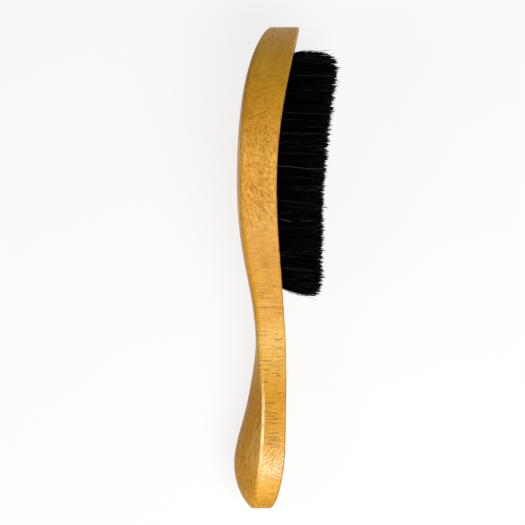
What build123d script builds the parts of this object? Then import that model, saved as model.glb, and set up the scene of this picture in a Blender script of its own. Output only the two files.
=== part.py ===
from build123d import *
import os
from math import asin, degrees, hypot

# A curved, handled fade brush: a solid beech body and staple-set bristle.
#
# The model is drawn lengthwise. +X runs from the handle end to the head, +Y is the domed back, the bristles
# point to -Y and Z is the width. The finished brush lies on its side, on the edge of the head and the edge of
# the handle bulb, with the origin under the middle of its box. All lengths are in millimetres.

# --- wooden body ---------------------------------------------------------------------------------------------

body_length = 228.5
head_half_width = 29.5
head_widest_at = 166.0
bulb_half_width = 16.3
bulb_widest_at = 27.0
back_edge_radius = 2.4
face_edge_radius = 1.1

# Half of the outline seen from the back, as (distance from the handle end, half width), without its two ends.
outline_half = [
    (4.5, 9.0),
    (13.0, 14.2),
    (bulb_widest_at, bulb_half_width),
    (42.0, 14.6),
    (58.0, 11.8),
    (76.0, 10.3),
    (92.0, 12.2),
    (108.0, 17.2),
    (128.0, 24.4),
    (147.0, 28.5),
    (head_widest_at, head_half_width),
    (185.0, 28.5),
    (203.0, 25.0),
    (218.0, 17.6),
]

# The side that holds the bristle: a shallow double curve, hollow under the head.
face_curve = [
    (-2.0, 8.2),
    (3.5, 4.95),
    (12.0, 2.55),
    (23.0, 0.8),
    (38.0, 0.05),
    (62.0, -0.3),
    (80.0, 0.0),
    (100.0, 1.3),
    (125.0, 3.3),
    (150.0, 4.45),
    (178.0, 2.8),
    (205.0, -1.75),
    (232.0, -7.7),
]

# Cross-sections of the back, each a rounded roof: place along the brush, height of the crown, half width, how
# far the roof falls to that half width, and its roundness. A low roundness gives a tight crown with straight
# flanks, a high one a plain dome.
back_sections = [
    (-3.0, 9.0, 10.0, 7.0, 0.6),
    (4.0, 19.6, 12.0, 9.3, 0.6),
    (12.0, 23.1, 15.0, 10.9, 0.5),
    (23.0, 24.3, 17.3, 13.4, 0.5),
    (40.0, 20.7, 16.0, 10.8, 0.5),
    (58.0, 16.6, 13.0, 6.2, 0.5),
    (72.0, 14.5, 12.5, 2.3, 0.6),
    (84.0, 14.3, 13.0, 1.2, 0.8),
    (100.0, 16.3, 18.0, 1.4, 1.0),
    (120.0, 20.1, 27.0, 1.6, 1.2),
    (150.0, 23.0, 31.0, 1.9, 1.2),
    (185.0, 21.7, 31.0, 1.9, 1.2),
    (208.0, 17.6, 30.0, 1.8, 1.2),
    (222.0, 11.8, 27.0, 1.6, 1.2),
    (231.0, 5.4, 24.0, 1.4, 1.2),
]
roof_points = 9

# --- bristle -------------------------------------------------------------------------------------------------

# Tufts stand in lines along the brush, and every second line is shifted by half a pitch.
first_tuft_at = 106.0
last_tuft_at = 213.5
tuft_pitch = 5.0
line_pitch = 4.6
line_count = 11
field_half_width = 26.0
field_overrun = 3.5
field_squareness = 2.6
field_border = 4.8

hole_radius = 1.15
hole_depth = 8.0
tip_radius = 2.4

# Where the bristle is trimmed: a flatter curve than the wood under it.
trim_curve = [
    (100.0, -16.6),
    (127.0, -16.7),
    (146.0, -16.9),
    (165.0, -18.1),
    (185.0, -20.3),
    (205.0, -23.3),
    (220.0, -25.6),
]

anchor_width = 3.0
anchor_height = 1.8
anchor_thickness = 0.4
anchor_above_hole_bottom = 1.2

# --- working allowances --------------------------------------------------------------------------------------

stock_below = 12.0
stock_above = 35.0
stock_half_width = 40.0
halvings = 40


def back_section(place, crown, half_width, drop, roundness):
    """One cross-section of the blank: a rounded roof over a deep rectangle."""
    plane = Plane(origin=(place, 0, 0), x_dir=(0, 1, 0), z_dir=(1, 0, 0))
    full_fall = hypot(1, roundness) - roundness
    roof = []
    for number in range(roof_points):
        share = 2 * number / (roof_points - 1) - 1
        fall = (hypot(share, roundness) - roundness) / full_fall
        roof.append((crown - drop * fall, share * half_width))
    base = -stock_below
    rest = Polyline(roof[-1], (base, half_width), (base, -half_width), roof[0])
    return plane * make_face([Spline(*roof), rest])


def outline_prism():
    """The outline seen from the back, cut straight through the thickness."""
    other_half = [(place, -half_width) for place, half_width in reversed(outline_half)]
    outline = Spline((0, 0), *outline_half, (body_length, 0), *other_half, periodic=True)
    quarters = [outline.trim(part / 4, (part + 1) / 4) for part in range(4)]
    plane = Plane(origin=(0, -stock_below, 0), x_dir=(1, 0, 0), z_dir=(0, 1, 0))
    return extrude(plane * make_face(quarters), amount=stock_below + stock_above)


def below_face():
    """Everything on the bristle side of the bristle face."""
    start, end = face_curve[0], face_curve[-1]
    deep = -2 * stock_below
    rest = Polyline(end, (end[0], deep), (start[0], deep), start)
    region = make_face([Spline(*face_curve), rest])
    return extrude(Pos(0, 0, -stock_half_width) * region, amount=2 * stock_half_width)


def large_face(solid, side):
    """The domed back (side 1) or the bristle face (side -1): the two largest faces."""
    pair = solid.faces().sort_by(SortBy.AREA)[-2:]
    return max(pair, key=lambda face: side * face.center(CenterOf.MASS).Y)


def wooden_blank():
    """The body before it is drilled."""
    blank = loft([back_section(*section) for section in back_sections])
    blank = blank & outline_prism()
    blank = blank - below_face()
    blank = fillet(large_face(blank, -1).edges(), face_edge_radius)
    return fillet(large_face(blank, 1).edges(), back_edge_radius)


def height_at(curve, place):
    """Height of a side curve at a place along the brush, found by halving the stretch that holds it."""
    line = Spline(*curve)
    low, high = 0.0, 1.0
    for _ in range(halvings):
        middle = (low + high) / 2
        if (line @ middle).X < place:
            low = middle
        else:
            high = middle
    return (line @ low).Y


def field_limit(place):
    """How far from the middle line tufts may stand at a place along the brush."""
    middle = (first_tuft_at + last_tuft_at) / 2
    half_length = (last_tuft_at - first_tuft_at) / 2 + field_overrun
    reach = 1 - (abs(place - middle) / half_length) ** field_squareness
    oval = field_half_width * reach ** (1 / field_squareness)
    return min(oval, height_at(outline_half, place) - field_border)


def tuft_places(line, offset):
    """Places of the tufts along one line."""
    shift = tuft_pitch / 2 * (line % 2)
    count = int((last_tuft_at - first_tuft_at - shift) / tuft_pitch) + 1
    places = [first_tuft_at + shift + step * tuft_pitch for step in range(count)]
    return [place for place in places if abs(offset) <= field_limit(place)]


def drill(place, bottom, offset):
    """A blind hole from below the bristle face up to its bottom."""
    height = bottom + 2 * stock_below
    middle = Vector(place, bottom - height / 2, offset)
    return Location(middle, (90, 0, 0)) * Cylinder(hole_radius, height)


def tuft(place, bottom, mouth, trim, offset):
    """A bunch of bristle: straight in its hole, then spreading evenly to the trimmed tips."""
    plane = Plane(origin=(place, bottom, offset), x_dir=(1, 0, 0), z_dir=(0, -1, 0))
    root = bottom - mouth
    tip = bottom - trim
    half_side = Polyline((0, 0), (hole_radius, 0), (hole_radius, root), (tip_radius, tip), (0, tip), (0, 0))
    upright = Plane.XZ * make_face(half_side)
    return plane * revolve(upright, axis=Axis.Z)


def anchor(place, bottom, offset):
    """A flat wire anchor across the grain, wider than the hole so that it bites the wood."""
    height = bottom - anchor_above_hole_bottom - anchor_height / 2
    return Pos(place, height, offset) * Box(anchor_thickness, anchor_height, anchor_width)


def laid_on_side(wood):
    """The move that lays the brush on its side, with the origin under the middle of the finished box."""
    tilt = degrees(asin((head_half_width - bulb_half_width) / (head_widest_at - bulb_widest_at)))
    turn = Rot(0, -tilt, 0)
    box = (turn * wood).bounding_box()
    back = box.max.Y
    tips = min(height for _, height in trim_curve)
    return Pos(-box.center().X, -(back + tips) / 2, -box.min.Z) * turn


tuft_lines = []
anchor_lines = []
cutters = []
for line in range(line_count):
    offset = (line - (line_count - 1) / 2) * line_pitch
    tufts = []
    anchors = []
    for place in tuft_places(line, offset):
        mouth = height_at(face_curve, place)
        bottom = mouth + hole_depth
        staple = anchor(place, bottom, offset)
        bunch = tuft(place, bottom, mouth, height_at(trim_curve, place), offset)
        tufts.append(bunch - staple)
        anchors.append(staple)
        cutters += [drill(place, bottom, offset), staple]
    tuft_lines.append(Compound(children=tufts))
    anchor_lines.append(Compound(children=anchors))
wood = wooden_blank() - cutters

os.makedirs("parts", exist_ok=True)
lay = laid_on_side(wood)
export_step(lay * wood, "parts/wood_body.step")
for number, (tufts, anchors) in enumerate(zip(tuft_lines, anchor_lines), start=1):
    export_step(lay * tufts, f"parts/tuft_line_{number:02d}.step")
    export_step(lay * anchors, f"parts/anchor_line_{number:02d}.step")
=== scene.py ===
import bpy
import bmesh
import math
import numpy as np
from mathutils import Matrix, Vector


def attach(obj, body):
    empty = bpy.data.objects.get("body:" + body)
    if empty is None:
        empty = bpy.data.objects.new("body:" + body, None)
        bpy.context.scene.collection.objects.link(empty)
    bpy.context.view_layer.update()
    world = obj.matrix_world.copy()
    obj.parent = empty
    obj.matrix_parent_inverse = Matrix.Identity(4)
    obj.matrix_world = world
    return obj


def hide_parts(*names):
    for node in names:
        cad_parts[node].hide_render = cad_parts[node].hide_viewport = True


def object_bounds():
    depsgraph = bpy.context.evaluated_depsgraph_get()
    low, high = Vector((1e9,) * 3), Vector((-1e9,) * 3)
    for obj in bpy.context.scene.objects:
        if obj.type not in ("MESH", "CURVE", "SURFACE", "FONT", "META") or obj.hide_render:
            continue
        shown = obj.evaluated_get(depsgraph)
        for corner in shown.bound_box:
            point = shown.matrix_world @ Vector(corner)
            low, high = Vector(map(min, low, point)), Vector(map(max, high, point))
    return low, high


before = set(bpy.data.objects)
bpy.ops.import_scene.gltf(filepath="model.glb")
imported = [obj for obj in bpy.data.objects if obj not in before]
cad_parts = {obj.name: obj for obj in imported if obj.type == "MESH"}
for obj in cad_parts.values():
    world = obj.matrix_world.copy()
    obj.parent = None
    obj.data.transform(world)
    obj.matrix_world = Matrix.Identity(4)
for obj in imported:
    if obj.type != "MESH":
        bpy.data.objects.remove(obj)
cad_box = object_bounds()

# The looks of a curved, handled fade brush: golden beech under clear lacquer, and stiff black bristle
# drawn hair by hair in place of the plain tuft solids.
#
# The brush lies on its side: its width runs nearly along +Z and its length, from handle to head, nearly
# along +X. The domed back faces +Y and the bristles point to -Y. Sizes of the brush are named in
# millimetres and become metres with MM. Sizes and places of the studio are in metres.

MM = 0.001
WHITE = (1.0, 1.0, 1.0)


# --- reading the frame -------------------------------------------------------------------------------

# How close points lie when they count as level or equally far out, and as one point.
SAME = 0.02
JOIN_WITHIN = 0.002


def merged_copy(node):
    """The node's mesh with its doubled points joined, so that each solid is one island."""
    mesh = bmesh.new()
    mesh.from_mesh(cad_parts[node].data)
    bmesh.ops.remove_doubles(mesh, verts=mesh.verts, dist=JOIN_WITHIN * MM)
    return mesh


def islands(mesh):
    """The points of each separate solid, one array at a time."""
    unseen = set(mesh.verts)
    while unseen:
        group = []
        front = [unseen.pop()]
        while front:
            vert = front.pop()
            group.append(vert.co.copy())
            for edge in vert.link_edges:
                other = edge.other_vert(vert)
                if other in unseen:
                    unseen.remove(other)
                    front.append(other)
        yield np.array(group)


def tufts_of(node):
    """Where each tuft of a line stands, leaves the wood and ends, and its radii, read from its solid."""
    mesh = merged_copy(node)
    found = []
    for points in islands(mesh):
        low, high = points.min(axis=0), points.max(axis=0)
        middle = (low + high) / 2
        from_axis = np.hypot(points[:, 0] - middle[0], points[:, 2] - middle[2])
        hole_radius = from_axis[points[:, 1] > high[1] - SAME * MM].max()
        found.append({
            "x": middle[0],
            "z": middle[2],
            "tip": low[1],
            "mouth": points[abs(from_axis - hole_radius) < SAME * MM, 1].min(),
            "hole_radius": hole_radius,
            "tip_radius": from_axis.max(),
        })
    mesh.free()
    return sorted(found, key=lambda tuft: tuft["x"])


line_nodes = sorted(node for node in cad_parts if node.startswith("tuft_line_"))
anchor_nodes = sorted(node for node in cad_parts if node.startswith("anchor_line_"))
tuft_lines = [tufts_of(node) for node in line_nodes]

# The longest line of tufts gives the exact direction of the brush's length.
longest = max(tuft_lines, key=len)
along = Vector((longest[-1]["x"] - longest[0]["x"], 0, longest[-1]["z"] - longest[0]["z"])).normalized()
across = Vector((-along.z, 0, along.x))


def own_place(x, z):
    """Distance along the brush and across it, from the model's origin."""
    return x * along.x + z * along.z, x * across.x + z * across.z


for line in tuft_lines:
    for tuft in line:
        tuft["along"], tuft["across"] = own_place(tuft["x"], tuft["z"])
all_tufts = sorted((tuft for line in tuft_lines for tuft in line), key=lambda tuft: tuft["along"])
tuft_alongs = np.array([tuft["along"] for tuft in all_tufts])
tuft_acrosses = np.array([tuft["across"] for tuft in all_tufts])
tuft_tips = np.array([tuft["tip"] for tuft in all_tufts])
field_middle = (tuft_alongs.min() + tuft_alongs.max()) / 2
field_half_length = np.ptp(tuft_alongs) / 2
field_centre_line = (tuft_acrosses.min() + tuft_acrosses.max()) / 2
field_half_width = np.ptp(tuft_acrosses) / 2

wood_points = np.array([own_place(v.co.x, v.co.z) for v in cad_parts["wood_body"].data.vertices])
handle_end = wood_points[:, 0].min()
brush_length = float(np.ptp(wood_points[:, 0]))


# --- writing materials -------------------------------------------------------------------------------


class Nodes:
    """A short way to write a material's nodes and links."""

    def __init__(self, name):
        self.material = bpy.data.materials.new(name)
        self.material.use_nodes = True
        self.tree = self.material.node_tree
        self.shader = self.tree.nodes["Principled BSDF"]

    def add(self, kind, **settings):
        """A new node with its settings."""
        node = self.tree.nodes.new(kind)
        for name, value in settings.items():
            setattr(node, name, value)
        return node

    def link(self, output, socket):
        self.tree.links.new(output, socket)

    def math(self, operation, first, second=0.0, clamp=False):
        """An operation on one or two values, each a number or an output."""
        node = self.add("ShaderNodeMath", operation=operation, use_clamp=clamp)
        for socket, value in zip(node.inputs, (first, second)):
            if isinstance(value, (int, float)):
                socket.default_value = value
            else:
                self.link(value, socket)
        return node.outputs[0]

    def own_space(self):
        """Coordinates that follow the brush: X along it, Y out of its back and Z across it."""
        coordinates = self.add("ShaderNodeTexCoord")
        aligned = self.add("ShaderNodeMapping")
        aligned.inputs["Rotation"].default_value = (0, math.atan2(along.z, along.x), 0)
        self.link(coordinates.outputs["Object"], aligned.inputs["Vector"])
        return aligned.outputs[0]

    def stretched(self, scale, slope=0.0):
        """The brush's own coordinates, turned by a slope in the plane of its sides, then scaled."""
        sloped = self.add("ShaderNodeMapping")
        sloped.inputs["Rotation"].default_value = (0, 0, math.radians(slope))
        self.link(self.own_space(), sloped.inputs["Vector"])
        scaled = self.add("ShaderNodeMapping")
        scaled.inputs["Scale"].default_value = scale
        self.link(sloped.outputs[0], scaled.inputs["Vector"])
        return scaled.outputs[0]

    def noise(self, scale, slope=0.0, detail=3.0, roughness=0.5, distortion=0.0):
        """Noise with cells of its own length along the brush, out of its back and across it."""
        node = self.add("ShaderNodeTexNoise")
        node.inputs["Scale"].default_value = 1.0
        node.inputs["Detail"].default_value = detail
        node.inputs["Roughness"].default_value = roughness
        node.inputs["Distortion"].default_value = distortion
        self.link(self.stretched(scale, slope), node.inputs["Vector"])
        return node.outputs["Fac"]

    def ramp(self, value, *stops):
        """A colour ramp whose stops are places with a colour or a plain grey value."""
        node = self.add("ShaderNodeValToRGB")
        points = node.color_ramp.elements
        while len(points) < len(stops):
            points.new(0.5)
        for point, (place, colour) in zip(points, stops):
            point.position = place
            point.color = (*colour, 1) if isinstance(colour, tuple) else (colour, colour, colour, 1)
        self.link(value, node.inputs["Fac"])
        return node.outputs["Color"]

    def mix(self, share, first, second, blend="MIX"):
        """A mix of two colours, each a plain colour or an output."""
        node = self.add("ShaderNodeMix", data_type="RGBA", blend_type=blend)
        for socket, value in zip((node.inputs[0], node.inputs[6], node.inputs[7]), (share, first, second)):
            if isinstance(value, (int, float)):
                socket.default_value = value
            elif isinstance(value, tuple):
                socket.default_value = (*value, 1)
            else:
                self.link(value, socket)
        return node.outputs[2]

    def tinted(self, colour, tone):
        """A colour multiplied by a tone."""
        return self.mix(1.0, colour, tone, "MULTIPLY")

    def bump(self, height, strength, distance, socket):
        """A bump from a height, linked to one of the shader's normals."""
        node = self.add("ShaderNodeBump")
        node.inputs["Strength"].default_value = strength
        node.inputs["Distance"].default_value = distance * MM
        self.link(height, node.inputs["Height"])
        self.link(node.outputs[0], self.shader.inputs[socket])

    def set_constants(self, **values):
        """Constants of the shader, named after its sockets."""
        for name, value in values.items():
            self.shader.inputs[name.replace("_", " ")].default_value = value


# --- lacquered beech ---------------------------------------------------------------------------------

# Scales of the noises, in cells per metre along the brush, out of its back and across it. A small scale
# makes long cells. The slopes, in degrees, turn slanting streaks in the plane of the sides.
PATCHES = (22, 70, 45)
CROSS_STREAKS = (2100, 120, 80)
FALLING_STREAKS = (1300, 350, 200)
RISING_STREAKS = (1600, 280, 120)
STREAK_CLOUDS = (70, 110, 110)
FLECKS = (2300, 260, 150)
MOTTLE = (850, 750, 600)
LONG_STREAKS = (55, 1100, 1500)
RAY_ENDS = (260, 1700, 2300)
PORES = (1900, 1900, 1900)
# The scale below breaks the painted highlight on the handle's ridge into patches.
RIDGE_HIGHLIGHT_PATCHES = (260, 900, 900)
MARK_EDGES = (260, 260, 260)
ORANGE_PEEL = (1150, 1150, 1150)

FALLING_SLOPE = 46
RISING_SLOPE = -26

# Where the model's origin lies from the heart of the trunk, with the slope of the rings and their settings.
ORIGIN_FROM_HEART = (0, -75, 12)
RING_SLOPE = 7
RING_SETTINGS = {"Scale": 75, "Distortion": 5.0, "Detail": 3.0, "Detail Scale": 0.35}

# Height and strength of the bumps that the grain and the lacquer make.
GRAIN_RELIEF = 0.2
GRAIN_RELIEF_STRENGTH = 0.6
LACQUER_RELIEF = 0.3
LACQUER_RELIEF_STRENGTH = 0.7

# Dark marks in the grain of the side that faces up: distance from the handle end, distance below the
# crown of the back, length, slope in degrees (0 runs straight across the side) and strength.
GRAIN_MARKS = [
    (204.5, 18.8, 3.4, -12, 0.45),
    (201.8, 18.3, 6.4, 3, 0.55),
    (197.6, 23.0, 4.2, -4, 0.50),
    (196.0, 14.6, 8.5, -20, 0.45),
    (193.1, 13.4, 8.5, -22, 0.50),
    (188.4, 21.0, 2.6, 85, 0.40),
    (187.0, 16.3, 2.8, -26, 0.50),
    (183.2, 6.3, 3.2, -45, 0.70),
    (180.4, 16.8, 2.8, -70, 0.50),
    (178.0, 15.4, 3.0, -75, 0.50),
    (176.6, 6.1, 3.8, -65, 0.60),
    (172.5, 3.6, 2.6, -70, 0.50),
    (171.6, 15.1, 5.6, 84, 0.40),
    (168.0, 5.2, 3.6, 78, 0.45),
    (151.0, 10.0, 8.2, 45, 0.80),
    (147.6, 13.4, 5.6, 52, 0.75),
    (143.8, 10.4, 7.4, 47, 0.50),
    (142.2, 12.7, 11.6, 53, 0.50),
    (140.9, 14.4, 10.4, 50, 0.70),
    (137.0, 11.8, 6.0, 44, 0.35),
    (100.2, 15.0, 12.0, 0, 0.45),
    (95.8, 15.6, 15.0, 1, 0.65),
    (80.6, 19.8, 3.2, 24, 0.80),
    (80.8, 21.8, 3.2, -22, 0.75),
    (70.7, 15.0, 5.6, 2, 0.60),
    (68.5, 12.0, 4.8, -3, 0.60),
    (66.6, 15.2, 3.8, 8, 0.55),
    (63.8, 21.1, 3.0, 18, 0.90),
    (61.0, 14.5, 4.4, 4, 0.75),
    (55.7, 21.0, 4.4, -6, 0.70),
    (51.3, 17.0, 7.2, 3, 0.85),
    (46.6, 18.6, 9.0, 2, 0.70),
    (45.3, 17.4, 6.6, 1, 0.60),
    (44.0, 19.0, 8.6, -2, 0.70),
    (42.2, 18.0, 8.0, 2, 0.65),
    (37.4, 18.6, 7.4, 0, 0.55),
    (35.6, 17.8, 8.6, 2, 0.70),
    (34.4, 19.0, 8.0, -1, 0.65),
    (32.6, 18.0, 8.8, 1, 0.70),
    (31.2, 19.2, 6.8, -2, 0.55),
    (8.6, 18.0, 8.0, 0, 0.50),
]

# The hardness is that of a mark's edges and the wobble is how far they wander. The side's level at a mark is
# that of the wood within its neighbourhood along the brush.
MARK_HALF_THICKNESS = 0.38
MARK_HALF_DEPTH = 8.0
MARK_HARDNESS = 2.2
MARK_WOBBLE = 0.8
MARK_NEIGHBOURHOOD = 3.0

DARK_BEECH = (0.65, 0.318, 0.022)
PALE_BEECH = (0.78, 0.412, 0.046)
MARK_COLOUR = (0.24, 0.086, 0.001)
# Colour of the painted highlight along the ridge of the handle.
PAINTED_RIDGE_HIGHLIGHT = (1.0, 0.76, 0.36)
# Colour of the painted shade on the back of the handle.
PAINTED_BACK_SHADE = (0.80, 0.74, 0.12)
RING_SHARE = 0.5
PORE_SHARE = 0.8


def from_handle_end(n):
    """Distance from the handle end as a share of the brush's length."""
    split = n.add("ShaderNodeSeparateXYZ")
    n.link(n.own_space(), split.inputs[0])
    return n.math("DIVIDE", n.math("SUBTRACT", split.outputs["X"], handle_end), brush_length)


def ragged_space(n):
    """The brush's own coordinates, shaken a little along it and out of its back."""
    noise = n.add("ShaderNodeTexNoise")
    noise.inputs["Scale"].default_value = 1.0
    n.link(n.stretched(MARK_EDGES), noise.inputs["Vector"])
    centred = n.add("ShaderNodeVectorMath", operation="SUBTRACT")
    n.link(noise.outputs["Color"], centred.inputs[0])
    centred.inputs[1].default_value = (0.5, 0.5, 0.5)
    shaken = n.add("ShaderNodeVectorMath", operation="MULTIPLY_ADD")
    n.link(centred.outputs[0], shaken.inputs[0])
    shaken.inputs[1].default_value = (MARK_WOBBLE * MM, MARK_WOBBLE * MM, 0)
    n.link(n.own_space(), shaken.inputs[2])
    return shaken.outputs[0]


def grain_marks(n):
    """Strength of the dark marks: each is a soft, ragged, thin ellipsoid, and the strongest one counts."""
    space = ragged_space(n)
    total = None
    for place, below_crown, length, slope, strength in GRAIN_MARKS:
        distance = handle_end + place * MM
        height = cad_box[1][1] - below_crown * MM
        near = abs(wood_points[:, 0] - distance) < MARK_NEIGHBOURHOOD * MM
        near_side = wood_points[near, 1].max()
        mark = n.add("ShaderNodeMapping", vector_type="TEXTURE")
        mark.inputs["Location"].default_value = (distance, height, near_side)
        mark.inputs["Rotation"].default_value = (0, 0, math.radians(-slope))
        half_sizes = (MARK_HALF_THICKNESS, length / 2, MARK_HALF_DEPTH)
        mark.inputs["Scale"].default_value = [half_size * MM for half_size in half_sizes]
        n.link(space, mark.inputs["Vector"])
        ball = n.add("ShaderNodeTexGradient", gradient_type="SPHERICAL")
        n.link(mark.outputs[0], ball.inputs["Vector"])
        solid = n.math("MULTIPLY", ball.outputs["Fac"], MARK_HARDNESS, clamp=True)
        here = n.math("MULTIPLY", solid, strength)
        total = here if total is None else n.math("MAXIMUM", total, here)
    return total


def painted_ridge_highlight(n, normal, share):
    """Share of the painted highlight, a pale line on the rounded ridge between the sides and the back of the
    handle.
    """
    direction = n.add("ShaderNodeSeparateXYZ")
    n.link(normal, direction.inputs[0])
    out_of_back = direction.outputs["Y"]
    on_ridge = n.ramp(out_of_back, (0.08, 0.0), (0.22, 1.0), (0.42, 1.0), (0.655, 0.22), (0.76, 0.0))
    along_handle = n.ramp(share, (0.06, 0.0), (0.11, 1.0), (0.21, 1.0), (0.29, 0.0))
    patchy = n.ramp(n.noise(RIDGE_HIGHLIGHT_PATCHES), (0.35, 0.5), (0.60, 1.0))
    return n.math("MULTIPLY", n.math("MULTIPLY", on_ridge, along_handle), patchy)


def growth_rings(n):
    """Tone of the wide rings of a trunk whose heart lies beyond the back of the brush."""
    rings = n.add("ShaderNodeTexWave", wave_type="RINGS", rings_direction="X", wave_profile="SAW")
    for name, value in RING_SETTINGS.items():
        rings.inputs[name].default_value = value
    placed = n.add("ShaderNodeMapping")
    placed.inputs["Location"].default_value = [distance * MM for distance in ORIGIN_FROM_HEART]
    placed.inputs["Rotation"].default_value = (0, 0, math.radians(RING_SLOPE))
    n.link(n.own_space(), placed.inputs["Vector"])
    n.link(placed.outputs[0], rings.inputs["Vector"])
    return n.ramp(rings.outputs["Fac"], (0.0, WHITE), (0.75, (0.95, 0.92, 0.88)), (1.0, (0.84, 0.76, 0.66)))


def painted_light_along_brush(n, share):
    """Painted light and shade along the brush, from the handle end to the tip of the head: pale, bluish
    painted sheens at the handle end, the neck and the middle of the head, painted shade between them that is
    darkest near the tip, and a painted greyish reflection at the tip itself.
    """
    return n.ramp(
        share,
        (0.03, (1.04, 1.08, 1.70)),
        (0.12, (0.97, 0.95, 0.72)),
        (0.24, (0.91, 0.87, 0.70)),
        (0.30, (1.02, 1.09, 1.75)),
        (0.35, (1.04, 1.18, 2.40)),
        (0.40, (0.92, 0.88, 0.72)),
        (0.52, (0.86, 0.81, 0.64)),
        (0.62, (0.91, 0.86, 0.68)),
        (0.72, (1.01, 1.03, 1.60)),
        (0.80, (0.78, 0.73, 0.48)),
        (0.88, (0.61, 0.60, 0.30)),
        (0.93, (0.68, 0.69, 0.74)),
        (1.00, (1.26, 1.53, 3.80)),
    )


def side_grain(n, share):
    """Tone of the sides, and the height of their streaks.

    The streaks run straight across the handle and slant on the head, one way at its middle and the other
    way towards its tip. The handle has dark flecks as well, and the middle of the head has a mottle.
    """
    cross = n.noise(CROSS_STREAKS, roughness=0.6, distortion=0.2)
    falling = n.noise(FALLING_STREAKS, FALLING_SLOPE, roughness=0.6, distortion=0.4)
    rising = n.noise(RISING_STREAKS, RISING_SLOPE, roughness=0.6, distortion=0.4)
    streaks = n.mix(n.ramp(share, (0.52, 0.0), (0.60, 0.9), (0.72, 0.9), (0.78, 0.0)), cross, falling)
    streaks = n.mix(n.ramp(share, (0.72, 0.0), (0.80, 0.9)), streaks, rising)
    streak_tone = n.ramp(streaks, (0.35, (0.72, 0.62, 0.36)), (0.50, WHITE), (0.68, (1.10, 1.15, 1.7)))
    clustered = n.ramp(n.noise(STREAK_CLOUDS, detail=1), (0.40, 0.40), (0.60, 1.0))
    away_from_tip = n.ramp(share, (0.0, 1.0), (0.88, 1.0), (0.95, 0.2))
    tone = n.mix(n.math("MULTIPLY", clustered, away_from_tip), WHITE, streak_tone)

    flecks = n.noise(FLECKS, detail=1, distortion=0.3)
    fleck_tone = n.ramp(flecks, (0.24, (0.62, 0.46, 0.28)), (0.36, WHITE))
    flecked = n.ramp(share, (0.50, 1.0), (0.60, 0.0))
    tone = n.mix(flecked, tone, n.tinted(tone, fleck_tone))

    mottle = n.noise(MOTTLE, detail=4, roughness=0.75)
    mottle_tone = n.ramp(mottle, (0.39, (0.66, 0.55, 0.28)), (0.50, WHITE), (0.62, (1.14, 1.21, 1.75)))
    mottled = n.ramp(share, (0.48, 0.12), (0.60, 0.85), (0.76, 0.85), (0.86, 0.20))
    return n.mix(mottled, tone, n.tinted(tone, mottle_tone)), streaks


def back_grain(n, share):
    """Tone of the back and the face, which show long streaks and dark rays, with painted shade darkening the
    back of the handle, and the streaks' height.
    """
    streaks = n.noise(LONG_STREAKS, detail=4, roughness=0.65, distortion=0.2)
    streak_tone = n.ramp(streaks, (0.34, (0.72, 0.62, 0.46)), (0.56, WHITE), (0.75, (1.10, 1.12, 1.4)))
    dashes = n.noise(RAY_ENDS, detail=1)
    dash_tone = n.ramp(dashes, (0.31, (0.40, 0.26, 0.12)), (0.39, WHITE))
    dashed = n.tinted(streak_tone, dash_tone)
    # Painted shade darkens the back of the handle.
    painted_shade_on_handle = n.ramp(share, (0.25, 1.0), (0.50, 0.0))
    return n.mix(painted_shade_on_handle, dashed, n.tinted(dashed, PAINTED_BACK_SHADE)), streaks


def lacquered_beech():
    """Golden beech under clear lacquer, glossiest on the sides of the handle bulb."""
    n = Nodes("lacquered_beech_wood")
    share = from_handle_end(n)
    normal = n.add("ShaderNodeNewGeometry").outputs["Normal"]
    facing = n.add("ShaderNodeVectorMath", operation="DOT_PRODUCT")
    n.link(normal, facing.inputs[0])
    facing.inputs[1].default_value = across
    sideways = n.math("ABSOLUTE", facing.outputs["Value"])

    patches = n.noise(PATCHES, detail=2)
    colour = n.ramp(patches, (0.30, DARK_BEECH), (0.70, PALE_BEECH))
    # Painted light and shade along the brush.
    colour = n.tinted(colour, painted_light_along_brush(n, share))
    colour = n.mix(RING_SHARE, colour, growth_rings(n), "MULTIPLY")
    on_side = n.ramp(sideways, (0.75, 0.0), (0.93, 1.0))
    side_tone, side_streaks = side_grain(n, share)
    back_tone, back_streaks = back_grain(n, share)
    colour = n.tinted(colour, n.mix(on_side, back_tone, side_tone))
    pores = n.noise(PORES, detail=2, roughness=0.7)
    pore_tone = n.ramp(pores, (0.38, (0.84, 0.78, 0.70)), (0.58, WHITE))
    colour = n.mix(PORE_SHARE, colour, pore_tone, "MULTIPLY")
    colour = n.mix(grain_marks(n), colour, MARK_COLOUR)
    # Painted highlight along the ridge between the sides and the back of the handle.
    colour = n.mix(painted_ridge_highlight(n, normal, share), colour, PAINTED_RIDGE_HIGHLIGHT)
    n.link(colour, n.shader.inputs["Base Color"])

    n.bump(n.math("ADD", side_streaks, pores), GRAIN_RELIEF_STRENGTH, GRAIN_RELIEF, "Normal")
    n.bump(n.noise(ORANGE_PEEL, detail=1), LACQUER_RELIEF_STRENGTH, LACQUER_RELIEF, "Coat Normal")
    n.link(n.ramp(back_streaks, (0.0, 0.30), (1.0, 0.48)), n.shader.inputs["Roughness"])
    lacquered = n.ramp(sideways, (0.75, 0.05), (0.88, 1.0))
    polished = n.ramp(share, (0.03, 0.4), (0.07, 1.0), (0.16, 1.0), (0.24, 0.15))
    n.link(n.math("MULTIPLY", lacquered, polished), n.shader.inputs["Coat Weight"])
    n.set_constants(Specular_IOR_Level=0.15, Coat_Roughness=0.08)
    return n.material


# --- bristle and wire --------------------------------------------------------------------------------


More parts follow.
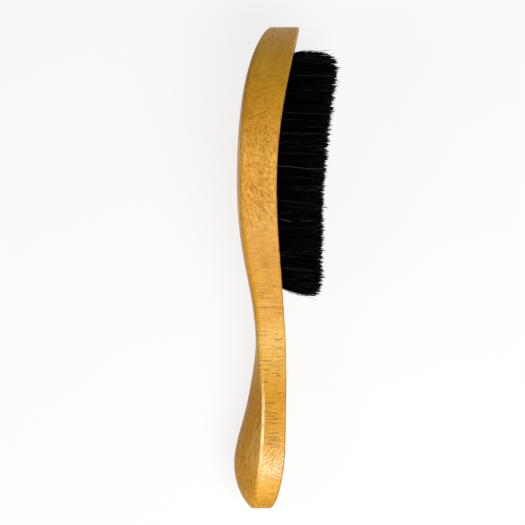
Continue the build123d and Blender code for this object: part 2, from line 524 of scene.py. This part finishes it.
def black_bristle():
    """Stiff black hair: each one its own shade, browner at its trimmed tip, and a very few of them pale.

    The hairs' map runs along each hair in X and holds the hair's own shade in Y.
    """
    n = Nodes("black_bristle")
    lengthwise = n.add("ShaderNodeUVMap", uv_map="OFBake")
    split = n.add("ShaderNodeSeparateXYZ")
    n.link(lengthwise.outputs[0], split.inputs[0])
    shade = n.ramp(
        split.outputs["Y"],
        (0.0, (0.0004, 0.0004, 0.0005)),
        (0.92, (0.0009, 0.0009, 0.0009)),
        (0.94, (0.020, 0.020, 0.020)),
        (0.977, (0.036, 0.036, 0.034)),
        (0.981, (0.30, 0.29, 0.27)),
    )
    tip = n.ramp(split.outputs["X"], (0.86, WHITE), (1.0, (1.8, 1.5, 1.4)))
    n.link(n.tinted(shade, tip), n.shader.inputs["Base Color"])
    n.set_constants(Roughness=0.22, Specular_IOR_Level=0.03)
    return n.material


def anchor_steel():
    """Plain drawn steel wire."""
    n = Nodes("anchor_steel")
    n.set_constants(Base_Color=(0.45, 0.45, 0.46, 1), Metallic=1.0, Roughness=0.35)
    return n.material


# --- hairs -------------------------------------------------------------------------------------------

SEED = 4127
CLUMPS_PER_TUFT = 10
HAIRS_PER_CLUMP = 15
HAIRS_PER_TUFT = CLUMPS_PER_TUFT * HAIRS_PER_CLUMP
CLUMP_OF_HAIR = np.repeat(np.arange(CLUMPS_PER_TUFT), HAIRS_PER_CLUMP)

# A hair tapers to a share of its radius. It starts inside its hole, which the hairs nearly fill, and opens
# out from its clump's place in the hole to its clump's place at the tips, most of all near the wood.
HAIR_RADIUS = 0.09
HAIR_TIP_SHARE = 0.75
HAIR_RINGS = 7
HAIR_SIDES = 3
HAIR_START_IN_HOLE = 1.5
HOLE_FILLED = 0.93
CLUMPS_APART_IN_HOLE = 0.75
CLUMPS_APART_AT_TIPS = 1.1
CLUMP_RADIUS = 0.34
SPREAD_RISE = 3.2
CLUMP_BOW = 0.50
HAIR_BOW = 0.42

# How unevenly the hairs end. Worn ones stop short, and both ends of the field are trimmed round.
TUFT_UNEVEN = 0.25
CLUMP_UNEVEN = 0.60
HAIR_UNEVEN = 0.50
CLUMP_POINT = 0.9
WORN_SHARE = 0.10
WORN_MOST = 4.0
HEAD_ROUNDING = 6.0
HANDLE_ROUNDING = 2.0
END_SHARPNESS = 24

# Leans as shares of the bristle's height, positive towards the head and outwards. The ones with a power
# grow towards the border of the field. A tuft's own lean is in millimetres at its tip.
EVEN_LEAN = -0.035
HEAD_LEAN = -0.03
HEAD_LEAN_POWER = 8
HANDLE_LEAN = -0.14
HANDLE_LEAN_POWER = 5
SIDE_LEAN = 0.10
SIDE_LEAN_POWER = 4
STRAY_SHARE = 0.03
STRAY_LEAN = 0.12
TUFT_LEAN = 0.35

# Free border of the hairs' map, as a share of it.
MAP_MARGIN = 0.02


def in_disc(random, count):
    """Even random points of the unit disc."""
    angle = random.uniform(0, 2 * math.pi, count)
    return np.stack([np.cos(angle), np.sin(angle)], axis=1) * np.sqrt(random.uniform(0, 1, count))[:, None]


def border_lean(tuft, spread):
    """How far each hair leans because of its place in the field."""
    end = (tuft["along"] + spread[:, 0] - field_middle) / field_half_length
    flank = (tuft["across"] + spread[:, 1] - field_centre_line) / field_half_width
    lengthwise = (
        EVEN_LEAN
        + HEAD_LEAN * np.clip(end, 0, 1) ** HEAD_LEAN_POWER
        + HANDLE_LEAN * np.clip(-end, 0, 1) ** HANDLE_LEAN_POWER
    )
    crosswise = SIDE_LEAN * np.sign(flank) * np.clip(abs(flank), 0, 1) ** SIDE_LEAN_POWER
    return np.stack([lengthwise, crosswise], axis=1) * (tuft["mouth"] - tuft["tip"])


def tip_levels(tuft, random, from_heart, spread, lean):
    """Height of each hair's tip: the trim line, rounded at the ends of the field and made uneven."""
    stands_at = tuft["along"] + spread[:, 0]
    level = np.interp(stands_at + lean[:, 0], tuft_alongs, tuft_tips)
    towards_end = (stands_at - field_middle) / (field_half_length + tuft["tip_radius"])
    rounding = np.where(towards_end > 0, HEAD_ROUNDING, HANDLE_ROUNDING) * MM
    level += rounding * np.clip(abs(towards_end), 0, 1) ** END_SHARPNESS
    level += random.normal(0, TUFT_UNEVEN * MM)
    level += random.normal(0, CLUMP_UNEVEN * MM, CLUMPS_PER_TUFT)[CLUMP_OF_HAIR]
    level += random.normal(0, HAIR_UNEVEN * MM, HAIRS_PER_TUFT)
    level += CLUMP_POINT * MM * np.hypot(from_heart[:, 0], from_heart[:, 1]) ** 2
    worn = random.uniform(0, 1, HAIRS_PER_TUFT) < WORN_SHARE
    return level + worn * random.uniform(0, WORN_MOST, HAIRS_PER_TUFT) * MM


def sideways_path(random, root, spread, lean):
    """Each ring's distance from the tuft's middle line: the hair opens out, leans, bows and waves."""
    step = np.linspace(0, 1, HAIR_RINGS)
    opened = 1 - (1 - step) ** SPREAD_RISE
    path = root[:, None, :] + (spread - root)[:, None, :] * opened[None, :, None]
    path += lean[:, None, :] * step[None, :, None]
    clump_bow = random.normal(0, CLUMP_BOW * MM, (CLUMPS_PER_TUFT, 2))[CLUMP_OF_HAIR]
    bow = clump_bow + random.normal(0, HAIR_BOW * MM, (HAIRS_PER_TUFT, 2))
    wave = random.normal(0, HAIR_BOW / 2 * MM, (HAIRS_PER_TUFT, 2))
    path += bow[:, None, :] * np.sin(math.pi * step)[None, :, None]
    path += wave[:, None, :] * np.sin(2 * math.pi * step)[None, :, None]
    return path


def hairs(tuft, random):
    """Centre lines of a tuft's hairs as an array of hairs by rings by coordinates, with each hair's shade.

    The hairs of a tuft stick together in clumps, each with its own length, bow and pointed end. A hair that
    would pass below the floor lies on it instead.
    """
    heart = in_disc(random, CLUMPS_PER_TUFT)[CLUMP_OF_HAIR]
    from_heart = in_disc(random, HAIRS_PER_TUFT)
    root = heart * CLUMPS_APART_IN_HOLE + from_heart * (1 - CLUMPS_APART_IN_HOLE)
    root = root * tuft["hole_radius"] * HOLE_FILLED
    spread = heart * tuft["tip_radius"] * CLUMPS_APART_AT_TIPS + from_heart * CLUMP_RADIUS * MM
    lean = border_lean(tuft, spread) + random.normal(0, TUFT_LEAN * MM, 2)
    stray = random.uniform(0, 1, HAIRS_PER_TUFT) < STRAY_SHARE
    bristle_height = tuft["mouth"] - tuft["tip"]
    lean += random.normal(0, STRAY_LEAN, (HAIRS_PER_TUFT, 2)) * bristle_height * stray[:, None]

    tips = tip_levels(tuft, random, from_heart, spread, lean)
    start = tuft["mouth"] + HAIR_START_IN_HOLE * MM
    height = start + (tips - start)[:, None] * np.linspace(0, 1, HAIR_RINGS)[None, :]
    path = sideways_path(random, root, spread, lean)
    lengthwise = tuft["along"] + path[:, :, 0]
    crosswise = tuft["across"] + path[:, :, 1]
    above_floor = np.maximum(lengthwise * along.z + crosswise * across.z, HAIR_RADIUS * MM)
    centre_lines = np.stack([lengthwise * along.x + crosswise * across.x, height, above_floor], axis=2)
    return centre_lines, random.uniform(0, 1, HAIRS_PER_TUFT)


def hair_faces(count, rings):
    """Corners of every face of the hairs: the walls between rings, and a cap at both ends."""
    ring = np.arange(HAIR_SIDES)
    after = (ring + 1) % HAIR_SIDES
    shape = []
    for level in range(rings - 1):
        here, there = level * HAIR_SIDES, (level + 1) * HAIR_SIDES
        shape += [(here + a, here + b, there + b, there + a) for a, b in zip(ring, after)]
    shape += [tuple(ring[::-1]), tuple((rings - 1) * HAIR_SIDES + ring)]
    faces = []
    for hair in range(count):
        shift = hair * rings * HAIR_SIDES
        faces += [tuple(int(corner) + shift for corner in face) for face in shape]
    return faces


def hair_mesh(name, lines, shades):
    """Thin tapered prisms along the centre lines, with the map that their material reads."""
    count, rings, _ = lines.shape
    step = np.linspace(0, 1, rings)
    radius = HAIR_RADIUS * MM * (1 - (1 - HAIR_TIP_SHARE) * step**2)
    turn = 2 * math.pi * np.arange(HAIR_SIDES) / HAIR_SIDES
    circle = np.stack([np.cos(turn), np.zeros(HAIR_SIDES), np.sin(turn)], axis=1)
    points = lines[:, :, None, :] + radius[None, :, None, None] * circle[None, None, :, :]

    mesh = bpy.data.meshes.new(name)
    mesh.from_pydata(points.reshape(-1, 3).tolist(), [], hair_faces(count, rings))
    per_hair = rings * HAIR_SIDES
    corners = np.empty(len(mesh.loops), np.int32)
    mesh.loops.foreach_get("vertex_index", corners)
    along_hair = step[(corners % per_hair) // HAIR_SIDES]
    own_shade = np.repeat(shades, per_hair)[corners]
    places = MAP_MARGIN + (1 - 2 * MAP_MARGIN) * np.stack([along_hair, own_shade], axis=1)
    mesh.uv_layers.new(name="OFBake").data.foreach_set("uv", places.astype(np.float32).ravel())
    mesh.polygons.foreach_set("use_smooth", np.ones(len(mesh.polygons), bool))
    return mesh


def bristle_line(number, node, line, material):
    """The hairs of one line of tufts as one piece, in place of the line's solids."""
    random = np.random.default_rng(SEED + number)
    made = [hairs(tuft, random) for tuft in line]
    centre_lines = np.concatenate([centre_lines for centre_lines, _ in made])
    shades = np.concatenate([shades for _, shades in made])
    mesh = hair_mesh(f"bristle_line_{number:02d}", centre_lines, shades)
    mesh.materials.append(material)
    piece = bpy.data.objects.new(mesh.name, mesh)
    bpy.context.scene.collection.objects.link(piece)
    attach(piece, "root")
    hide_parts(node)


# --- studio, in metres and watts ---------------------------------------------------------------------

FLOOR_HALF_SIZE = 3.0
FLOOR_COLOUR = (0.15, 0.15, 0.15, 1)
FLOOR_GLOW = 0.80

# Brightness of the surroundings near the horizon and overhead. It changes evenly between two heights on
# the unit sphere.
HORIZON_LIGHT = 0.60
HORIZON_TOP = 0.05
OVERHEAD_LIGHT = 0.27
OVERHEAD_BOTTOM = 0.35

# Round area lights: name, place, the point they face, diameter and power.
LIGHTS = [
    ("key", (-0.38, -0.20, 0.60), (0, 0, 0.03), 0.50, 3.45),
    ("fill", (-0.25, -0.20, 0.45), (-0.05, 0, 0.03), 0.40, 1.0),
    ("gloss", (-0.35, 0.01, 0.56), (-0.09, 0.01, 0.03), 0.16, 0.44),
    ("edge", (-0.13, 0.55, 0.55), (-0.06, 0.01, 0.03), 0.20, 0.85),
]

# The camera's distance, and the width that its picture has there. It aims at a point a little further
# along the brush than the middle of its box, and below the crown of the back. The sensor's width and these
# two are in millimetres.
CAMERA_DISTANCE = 0.60
PICTURE_WIDTH = 0.2479
SENSOR_WIDTH = 36.0
CAMERA_ALONG = 2.0
CAMERA_BELOW_BACK = 13.5


def floor():
    """A plain pale floor with a glow of its own, so that it stays nearly white."""
    half = FLOOR_HALF_SIZE
    corners = [(-half, -half, 0), (half, -half, 0), (half, half, 0), (-half, half, 0)]
    mesh = bpy.data.meshes.new("floor")
    mesh.from_pydata(corners, [], [(0, 1, 2, 3)])
    piece = bpy.data.objects.new("floor", mesh)
    bpy.context.scene.collection.objects.link(piece)
    n = Nodes("floor_white")
    n.set_constants(Base_Color=FLOOR_COLOUR, Roughness=0.9, Specular_IOR_Level=0.1)
    n.set_constants(Emission_Color=(*WHITE, 1), Emission_Strength=FLOOR_GLOW)
    mesh.materials.append(n.material)


def area_light(name, place, aim, size, watts):
    """A round white area light that faces a point."""
    data = bpy.data.lights.new(name, "AREA")
    data.shape = "DISK"
    data.size = size
    data.energy = watts
    lamp = bpy.data.objects.new(name, data)
    lamp.location = place
    lamp.rotation_euler = (Vector(aim) - Vector(place)).to_track_quat("-Z", "Y").to_euler()
    bpy.context.scene.collection.objects.link(lamp)


def world_light():
    """A pale studio, bright near the horizon and dimmer overhead."""
    world = bpy.data.worlds.new("studio")
    world.use_nodes = True
    tree = world.node_tree
    coordinates = tree.nodes.new("ShaderNodeTexCoord")
    split = tree.nodes.new("ShaderNodeSeparateXYZ")
    height = tree.nodes.new("ShaderNodeMapRange")
    height.inputs["From Min"].default_value = HORIZON_TOP
    height.inputs["From Max"].default_value = OVERHEAD_BOTTOM
    height.inputs["To Min"].default_value = HORIZON_LIGHT
    height.inputs["To Max"].default_value = OVERHEAD_LIGHT
    tree.links.new(coordinates.outputs["Generated"], split.inputs[0])
    tree.links.new(split.outputs["Z"], height.inputs["Value"])
    tree.links.new(height.outputs[0], tree.nodes["Background"].inputs["Strength"])
    tree.nodes["Background"].inputs["Color"].default_value = (*WHITE, 1)
    bpy.context.scene.world = world


def photo_camera():
    """Looks straight at the side of the brush, with the head at the top and the bristles to the right."""
    low, high = Vector(cad_box[0]), Vector(cad_box[1])
    aim = (low + high) / 2 + along * CAMERA_ALONG * MM
    aim.y = high.y - CAMERA_BELOW_BACK * MM
    data = bpy.data.cameras.new("photo_camera")
    data.sensor_width = SENSOR_WIDTH
    data.lens = SENSOR_WIDTH * CAMERA_DISTANCE / PICTURE_WIDTH
    camera = bpy.data.objects.new("photo_camera", data)
    right = Vector((0, -1, 0))
    up = along
    back = right.cross(up)
    turn = Matrix((right, up, back)).transposed().to_4x4()
    place = aim + back * CAMERA_DISTANCE
    camera.matrix_world = Matrix.Translation(place) @ turn
    bpy.context.scene.collection.objects.link(camera)
    bpy.context.scene.camera = camera


# --- the scene ---------------------------------------------------------------------------------------

beech = lacquered_beech()
bristle = black_bristle()
steel = anchor_steel()

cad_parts["wood_body"].material_slots[0].material = beech
for node in anchor_nodes:
    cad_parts[node].material_slots[0].material = steel
for number, (node, line) in enumerate(zip(line_nodes, tuft_lines), start=1):
    bristle_line(number, node, line, bristle)

floor()
world_light()
for light in LIGHTS:
    area_light(*light)
photo_camera()
bpy.context.scene.view_settings.view_transform = "Standard"
